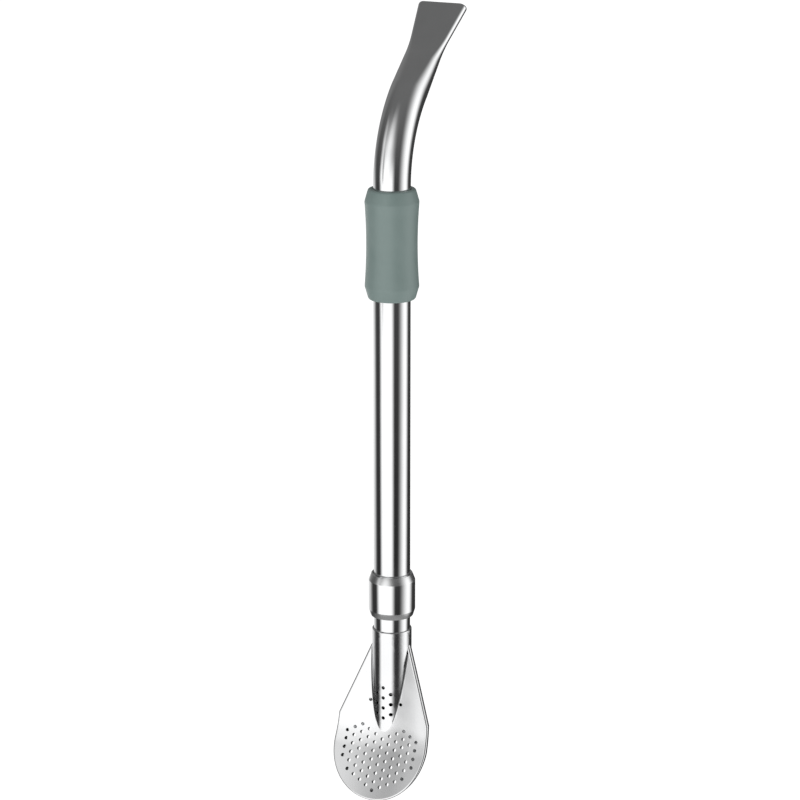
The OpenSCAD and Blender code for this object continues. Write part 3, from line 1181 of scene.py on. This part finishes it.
@dataclass
class SpoonBack:
    """Back half of the spoon: the perforated pan, its rim and the round channel with its nose."""

    shape: SpoonShape
    steel: bpy.types.Material
    fillet_r: float = 0.6 * MM
    fillet_steps: int = 6
    side_steps: int = 28
    nose_steps: int = 40
    skin_steps: int = 20
    rim_w: float = 0.9 * MM
    joint_gap: float = 0.02 * MM
    net_step: float = 0.9 * MM
    ball_range: Span = (math.radians(-60.0), math.radians(89.0))
    wing_search: float = 3.0 * MM

    @staticmethod
    def arm(out: Vector, angle: float) -> Vector:
        """Unit direction from the channel's axis to its skin.

        Args:
            out: direction across the channel, square to Y.
            angle: angle above it, towards the back.

        Returns:
            The direction.
        """
        return math.cos(angle) * out + math.sin(angle) * Vector((0, 1, 0))

    def ball(self, spine: Vector, out: Vector) -> Tuple[float, Vector]:
        """The ball that rolls between the channel and the pan.

        Args:
            spine: point of the channel's axis.
            out: direction across the channel, square to Y.

        Returns:
            Its angle above out, and its centre.
        """
        reach = self.shape.socket_r + self.fillet_r
        back = self.shape.depth + self.fillet_r

        def before_pan(angle: float) -> bool:
            """Whether a ball at this angle lies in front of the pan."""
            p = spine + reach * self.arm(out, angle)
            return p.y < self.shape.face_y(p.x, p.z, back)

        beta = Workshop.bisect(self.ball_range, before_pan)
        return beta, spine + reach * self.arm(out, beta)

    def foot(self, centre: Vector) -> Vector:
        """Where a ball touches the pan.

        Args:
            centre: the ball's centre.

        Returns:
            The point of the pan.
        """
        back = self.shape.depth + self.fillet_r
        return centre - self.fillet_r * self.shape.normal(centre.x, centre.z, back)

    def inside_hem(self, z: float) -> bool:
        """Whether the ball touches the pan inside its hem.

        Args:
            z: height of the channel's axis beside the ball.

        Returns:
            True inside the hem.
        """
        foot = self.foot(self.ball(Vector((0, 0, z)), Vector((1, 0, 0)))[1])
        return foot.x < self.shape.wing_x(foot.z, self.shape.hem_r)

    def stations(self) -> List[Tuple[Vector, Vector]]:
        """Points of the channel's axis and directions across it, from the left top to the right top."""
        nose = Vector((0, 0, -self.shape.nose_drop))
        search = (-self.shape.nose_drop, self.wing_search - self.shape.wing_drop)
        top = Workshop.bisect(search, self.inside_hem)
        heights = Workshop.steps(top, nose.z, self.side_steps)
        left = [(Vector((0, 0, z)), Vector((-1, 0, 0))) for z in heights[:-1]]
        right = [(spine, -out) for spine, out in reversed(left)]
        turns = Workshop.steps(0.0, math.pi, self.nose_steps)
        return left + [(nose, Vector((-math.cos(a), 0, -math.sin(a)))) for a in turns] + right

    def skin(self, spine: Vector, out: Vector, start: float) -> List[Vector]:
        """One rib of the channel's skin, from its edge to the middle of its back.

        Args:
            spine: point of the channel's axis.
            out: direction across the channel.
            start: angle of the edge above out.

        Returns:
            The rib's points.
        """
        return [spine + self.shape.socket_r * self.arm(out, angle)
                for angle in Workshop.steps(start, math.pi / 2, self.skin_steps)]

    def build(self) -> None:
        """Makes the pan, the fillet and the channel as one sheet and gives it its thickness."""
        shape = self.shape
        stations = self.stations()
        balls = [self.ball(spine, out) for spine, out in stations]
        centres = [centre for _, centre in balls]
        feet = [self.foot(centre) for centre in centres]
        bm = bmesh.new()
        self.pan(bm, feet)
        starts = [(foot - centre).normalized() for foot, centre in zip(feet, centres)]
        ends = [-self.arm(out, beta) for (_, out), (beta, _) in zip(stations, balls)]
        rows = Workshop.fillet(centres, starts, ends, self.fillet_r, self.fillet_steps)
        Workshop.loft(bm, rows, closed=False)
        Workshop.loft(bm, [self.skin(spine, out, beta) for (spine, out), (beta, _) in zip(stations, balls)],
                      closed=False)
        rim = -shape.socket_drop - shape.cuff_r
        for out in (Vector((1, 0, 0)), Vector((-1, 0, 0))):
            ribs = []
            for z in Workshop.steps(rim, stations[0][0].z, shape.socket_rows):
                ribs.append(self.skin(Vector((0, 0, z)), out, shape.split_angle(z) - math.pi / 2))
            Workshop.loft(bm, ribs, closed=False)
        Workshop.weld(bm)
        Workshop.thicken(bm, -shape.sheet)
        front = shape.hem_depth + self.joint_gap
        section = Workshop.edge_section(self.rim_w, shape.hem_r, shape.depth, front)
        shape.hem(bm, -shape.wing_drop - shape.hem_r, section)
        split = shape.split_angle(-shape.socket_drop)
        shape.cuff(bm, split, math.tau - split)
        bmesh.ops.recalc_face_normals(bm, faces=bm.faces[:])
        piece = Workshop.finish(bm, "spoon_back_pressed", self.steel)
        show(piece, Body.HEAD, Slot.STEEL, "spoon_back")

    def pan(self, bm: bmesh.types.BMesh, feet: Sequence[Vector]) -> None:
        """Adds the perforated pan with its cut-out for the channel.

        Args:
            bm: mesh to add to.
            feet: the cut-out's edge, from left to right.
        """
        shape = self.shape
        seam = [(p.x, p.z) for p in feet]
        border = seam[:-1] + shape.rim(seam[-1][1], shape.hem_r)[:-1]
        count = int(2 * shape.rim_r / self.net_step)
        across = Workshop.steps(-shape.rim_r, shape.rim_r, count)
        bottom = -shape.bowl_drop - shape.rim_r
        along = Workshop.steps(bottom, -shape.wing_drop, int((-shape.wing_drop - bottom) / self.net_step))
        holes = shape.bowl_holes(shape.back_hole_r, shape.back_skip, shape.depth)
        Workshop.perforated(bm, border, holes, (across, along), shape.on_face(shape.depth))


@dataclass(frozen=True)
class Lamp:
    """A soft square lamp aimed at the part.

    Attributes:
        name: lamp name.
        place: where it stands, in metres.
        size: side of the square, in metres.
        power: watts.
    """

    name: str
    place: Tuple[float, float, float]
    size: float
    power: float


@dataclass(frozen=True)
class Patch:
    """A soft patch of light that the steel mirrors, drawn by direction.

    Each span is a soft step in degrees, from none at its first angle to all at its second.
    The spans of a patch multiply.

    Attributes:
        strength: brightness, below 0 where the patch takes light away.
        around: spans of the angle round the part, from the camera to the right.
        up: spans of the angle above the horizon.
    """

    strength: float
    around: Tuple[Span, ...] = ()
    up: Tuple[Span, ...] = ()


KEY_LAMP = Lamp("key_lamp", place=(-0.1, -1.0, 0.6), size=0.6, power=2.6)
FILL_LAMP = Lamp("fill_lamp", place=(0.85, -0.35, 0.35), size=0.5, power=0.5)

BOX_FOOT: Span = (-52.0, -30.0)
LEFT_TOP: Span = (51.0, 2.0)
LEFT_BOX_LOW = Patch(1.13, around=((-85.0, -61.0), (18.0, -6.0)), up=((16.0, -8.0), LEFT_TOP, BOX_FOOT))
LEFT_BOX_HIGH = Patch(1.13, around=((-92.0, -36.0), (16.0, -34.0)), up=((-8.0, 16.0), LEFT_TOP, BOX_FOOT))
LEFT_BOX_CORNER = Patch(0.16, around=((-92.0, -80.0), (-64.0, -73.0)), up=((12.0, 20.0), (38.0, 30.0)))
LEFT_BOX_CREST = Patch(0.3, around=((-56.0, -34.0), (0.0, -28.0)), up=((14.0, 28.0), (60.0, 34.0)))
LEFT_BOX_SHADE = Patch(-0.58, around=((-68.0, -59.0), (-51.0, -57.0)), up=((-9.0, -3.0), (22.0, 2.0)))
LEFT_BOX_EDGE = Patch(0.3, around=((-87.0, -73.0), (-61.5, -70.0)), up=((-9.0, -2.0), (36.0, 14.0)))
RIGHT_BOX = Patch(1.13, around=((35.0, 87.0), (123.0, 90.0)), up=((58.0, 8.0), BOX_FOOT))
BACK_BOX = Patch(0.7684, around=((-104.0, -148.0),), up=((-32.0, -24.0), (-1.0, -15.0), BOX_FOOT))
BACK_HAZE = Patch(0.13, around=((-108.0, -138.0),), up=((-24.0, -6.0), (60.0, 0.0)))
CEILING = Patch(0.12, up=((-40.0, 60.0),))
GROUND = Patch(0.25, up=((-30.0, -60.0),))


@dataclass
class Studio:
    """White studio: camera, floor, soft lamps and the softboxes that the steel mirrors."""

    azimuth: float = math.radians(26.35)
    elevation: float = math.radians(15.64)
    target: Tuple[float, float, float] = (0.0, 0.0, 43.99 * MM)
    distance: float = 683.8 * MM
    lens: float = 127.17
    sensor: float = 36.0
    shift_x: float = 0.0101
    clip_start: float = 10.0 * MM
    floor_gap: float = 90.0 * MM
    floor_size: float = 12.0
    floor_glow: float = 0.85
    floor_grey: float = 0.5
    fill: float = 0.46
    dim: float = 0.022
    lamps: Tuple[Lamp, ...] = (KEY_LAMP, FILL_LAMP)
    patches: Tuple[Patch, ...] = (
        LEFT_BOX_LOW, LEFT_BOX_HIGH, RIGHT_BOX, BACK_BOX, LEFT_BOX_CORNER, LEFT_BOX_CREST, BACK_HAZE,
        LEFT_BOX_SHADE, LEFT_BOX_EDGE, CEILING, GROUND,
    )

    def build(self) -> None:
        """Makes the whole set."""
        self.camera()
        self.world()
        self.floor()
        for lamp in self.lamps:
            self.hang(lamp)
        bpy.context.scene.view_settings.view_transform = "Standard"

    def camera(self) -> None:
        """Puts the camera at the photograph's viewing angle."""
        data = bpy.data.cameras.new("camera")
        data.lens = self.lens
        data.sensor_width = self.sensor
        data.shift_x = self.shift_x
        data.clip_start = self.clip_start
        camera = bpy.data.objects.new("camera", data)
        back = Vector((math.sin(self.azimuth) * math.cos(self.elevation),
                       -math.cos(self.azimuth) * math.cos(self.elevation), math.sin(self.elevation)))
        camera.location = Vector(self.target) + back * self.distance
        camera.rotation_mode = "QUATERNION"
        camera.rotation_quaternion = (-back).to_track_quat("-Z", "Y")
        bpy.context.scene.collection.objects.link(camera)
        bpy.context.scene.camera = camera

    def hang(self, lamp: Lamp) -> None:
        """Hangs a lamp in its place and aims it at the part.

        Args:
            lamp: the lamp.
        """
        data = bpy.data.lights.new(lamp.name, "AREA")
        data.size = lamp.size
        data.energy = lamp.power
        hung = bpy.data.objects.new(lamp.name, data)
        hung.location = lamp.place
        hung.rotation_mode = "QUATERNION"
        hung.rotation_quaternion = (Vector(self.target) - Vector(lamp.place)).to_track_quat("-Z", "Y")
        hung.visible_glossy = False
        bpy.context.scene.collection.objects.link(hung)

    def floor(self) -> None:
        """Adds the pale floor below the part, white to the camera apart from the shadow."""
        low, _ = CAD_BOX
        bm = bmesh.new()
        bmesh.ops.create_grid(bm, x_segments=1, y_segments=1, size=self.floor_size / 2,
                              matrix=Matrix.Translation((0, 0, low.z - self.floor_gap)))
        mesh = bpy.data.meshes.new("floor")
        bm.to_mesh(mesh)
        bm.free()
        floor = bpy.data.objects.new("floor", mesh)
        bpy.context.scene.collection.objects.link(floor)
        material = bpy.data.materials.new("white_floor")
        material.use_nodes = True
        tree = material.node_tree
        tree.nodes.remove(tree.nodes["Principled BSDF"])
        glow = tree.nodes.new("ShaderNodeEmission")
        glow.inputs["Strength"].default_value = self.floor_glow
        matte = tree.nodes.new("ShaderNodeBsdfDiffuse")
        matte.inputs["Color"].default_value = (self.floor_grey, self.floor_grey, self.floor_grey, 1.0)
        both = tree.nodes.new("ShaderNodeAddShader")
        tree.links.new(glow.outputs[0], both.inputs[0])
        tree.links.new(matte.outputs[0], both.inputs[1])
        tree.links.new(both.outputs[0], tree.nodes["Material Output"].inputs["Surface"])
        mesh.materials.append(material)
        floor.visible_glossy = False

    def world(self) -> None:
        """Lights the set: white to the camera, softboxes to the steel, plain fill to the rest."""
        world = bpy.data.worlds.new("studio")
        bpy.context.scene.world = world
        world.use_nodes = True
        sky = StudioSky(world.node_tree, self.azimuth)
        mirrored = sky.draw(self.patches, self.dim)
        sky.share_out(mirrored, self.fill)


class StudioSky:
    """The world's nodes, which draw patches of light by direction and share them out by the kind of ray."""

    def __init__(self, tree: bpy.types.NodeTree, azimuth: float) -> None:
        """Adds the nodes that turn a direction into angles.

        Args:
            tree: the world's nodes.
            azimuth: direction of the camera, from which the patches are placed.
        """
        self.tree = tree
        coords = tree.nodes.new("ShaderNodeTexCoord")
        turn = tree.nodes.new("ShaderNodeVectorRotate")
        turn.rotation_type = "Z_AXIS"
        turn.inputs["Angle"].default_value = -azimuth
        tree.links.new(coords.outputs["Generated"], turn.inputs["Vector"])
        split = tree.nodes.new("ShaderNodeSeparateXYZ")
        tree.links.new(turn.outputs["Vector"], split.inputs["Vector"])
        towards = self.combine("MULTIPLY", split.outputs["Y"], -1.0)
        self.around = self.degrees(self.combine("ARCTAN2", split.outputs["X"], towards))
        self.up = self.degrees(self.combine("ARCSINE", split.outputs["Z"], 0.0))

    def feed(self, socket: bpy.types.NodeSocket, value: Value) -> None:
        """Sets a socket to a number or links it to another socket.

        Args:
            socket: the socket to feed.
            value: number or socket.
        """
        if isinstance(value, (int, float)):
            socket.default_value = value
        else:
            self.tree.links.new(value, socket)

    def combine(self, operation: str, a: Value, b: Value) -> bpy.types.NodeSocket:
        """Adds a math node.

        Args:
            operation: name of the operation.
            a: first socket or number.
            b: second socket or number.

        Returns:
            The result's socket.
        """
        node = self.tree.nodes.new("ShaderNodeMath")
        node.operation = operation
        self.feed(node.inputs[0], a)
        self.feed(node.inputs[1], b)
        return node.outputs["Value"]

    def degrees(self, angle: bpy.types.NodeSocket) -> bpy.types.NodeSocket:
        """Turns radians into degrees."""
        return self.combine("MULTIPLY", angle, 180.0 / math.pi)

    def step(self, value: bpy.types.NodeSocket, start: float, end: float) -> bpy.types.NodeSocket:
        """Adds a soft step.

        Args:
            value: angle in degrees.
            start: angle at which the step is 0.
            end: angle at which it is 1.

        Returns:
            The step's socket.
        """
        node = self.tree.nodes.new("ShaderNodeMapRange")
        node.interpolation_type = "SMOOTHSTEP"
        if start < end:
            node.inputs["From Min"].default_value = start
            node.inputs["From Max"].default_value = end
        else:
            node.inputs["From Min"].default_value = end
            node.inputs["From Max"].default_value = start
            node.inputs["To Min"].default_value = 1.0
            node.inputs["To Max"].default_value = 0.0
        self.tree.links.new(value, node.inputs["Value"])
        return node.outputs["Result"]

    def draw(self, patches: Sequence[Patch], dim: float) -> Value:
        """Draws the patches and adds them up.

        Args:
            patches: the patches.
            dim: light where there is no patch.

        Returns:
            What the steel mirrors from each direction.
        """
        total: Value = dim
        for patch in patches:
            light: Value = patch.strength
            for angle, spans in ((self.around, patch.around), (self.up, patch.up)):
                for start, end in spans:
                    light = self.combine("MULTIPLY", self.step(angle, start, end), light)
            total = self.combine("ADD", light, total)
        return total

    def share_out(self, mirrored: Value, fill: float) -> None:
        """Gives each kind of ray its light: white to the camera, the patches to gloss and fill to the rest.

        Args:
            mirrored: what the steel mirrors.
            fill: plain light on matte surfaces.
        """
        path = self.tree.nodes.new("ShaderNodeLightPath")
        shown = self.pick(path.outputs["Is Glossy Ray"], fill, mirrored)
        shown = self.pick(path.outputs["Is Camera Ray"], shown, 1.0)
        shown = self.pick(path.outputs["Is Transmission Ray"], shown, 1.0)
        background = self.tree.nodes["Background"]
        background.inputs["Color"].default_value = (1.0, 1.0, 1.0, 1.0)
        self.feed(background.inputs["Strength"], shown)

    def pick(self, chosen: bpy.types.NodeSocket, otherwise: Value, value: Value) -> bpy.types.NodeSocket:
        """Takes one value where a ray is of a kind, and another elsewhere.

        Args:
            chosen: 1 where the ray is of that kind.
            otherwise: value for the other rays.
            value: value for rays of that kind.

        Returns:
            The mixed socket.
        """
        node = self.tree.nodes.new("ShaderNodeMix")
        node.data_type = "FLOAT"
        self.feed(node.inputs["Factor"], chosen)
        self.feed(node.inputs["A"], otherwise)
        self.feed(node.inputs["B"], value)
        return node.outputs["Result"]


ALONG_LINES = (2600.0, 2600.0, 60.0)
ROUND_LINES = (60.0, 60.0, 2600.0)
PLAIN_GRAIN = (900.0, 900.0, 900.0)
STRAW_STEEL = SteelFinish("polished_steel", (0.86, 0.865, 0.87), 0.1, 0.02, ALONG_LINES, 0.0006 * MM)
SPOON_STEEL = SteelFinish("satin_steel", (0.85, 0.855, 0.86), 0.17, 0.03, PLAIN_GRAIN, 0.0008 * MM)
# Dark steel for the crease between tongue and dish: painted shade, not a finish of the metal.
CREASE_SHADE_STEEL = SteelFinish("crease_painted_shade_steel", (0.15, 0.151, 0.153), 0.34, 0.06, PLAIN_GRAIN, 0.0008 * MM)
BEVEL_STEEL = SteelFinish("bevel_steel", (0.91, 0.915, 0.92), 0.22, 0.04, ROUND_LINES, 0.0006 * MM)
NUT_STEEL = SteelFinish("turned_steel", (0.86, 0.865, 0.87), 0.1, 0.02, ROUND_LINES, 0.0006 * MM)
SAGE_SILICONE = SiliconeFinish("sage_silicone", (0.18, 0.241, 0.228), (0.192, 0.254, 0.241),
                               roughness=0.38, sheen=0.03, skin_depth=0.008 * MM)
CLEAR_SILICONE = SiliconeFinish("gasket_silicone", (0.74, 0.73, 0.69), (0.82, 0.81, 0.77),
                                roughness=0.5, sheen=0.05, skin_depth=0.01 * MM)


def main() -> None:
    """Builds the studio and every sub-assembly in order."""
    logging.basicConfig(level=logging.INFO, format="%(name)s: %(message)s")
    Studio().build()
    polished = STRAW_STEEL.material()
    satin = SPOON_STEEL.material()
    Straw(polished).build()
    Grip(SAGE_SILICONE.material()).build()
    UnionNut(NUT_STEEL.material(), BEVEL_STEEL.material()).build()
    Neck(polished, CLEAR_SILICONE.material()).build()
    shape = SpoonShape()
    SpoonFront(shape, satin, CREASE_SHADE_STEEL.material()).build()
    SpoonBack(shape, satin).build()


if __name__ == "__main__":
    main()
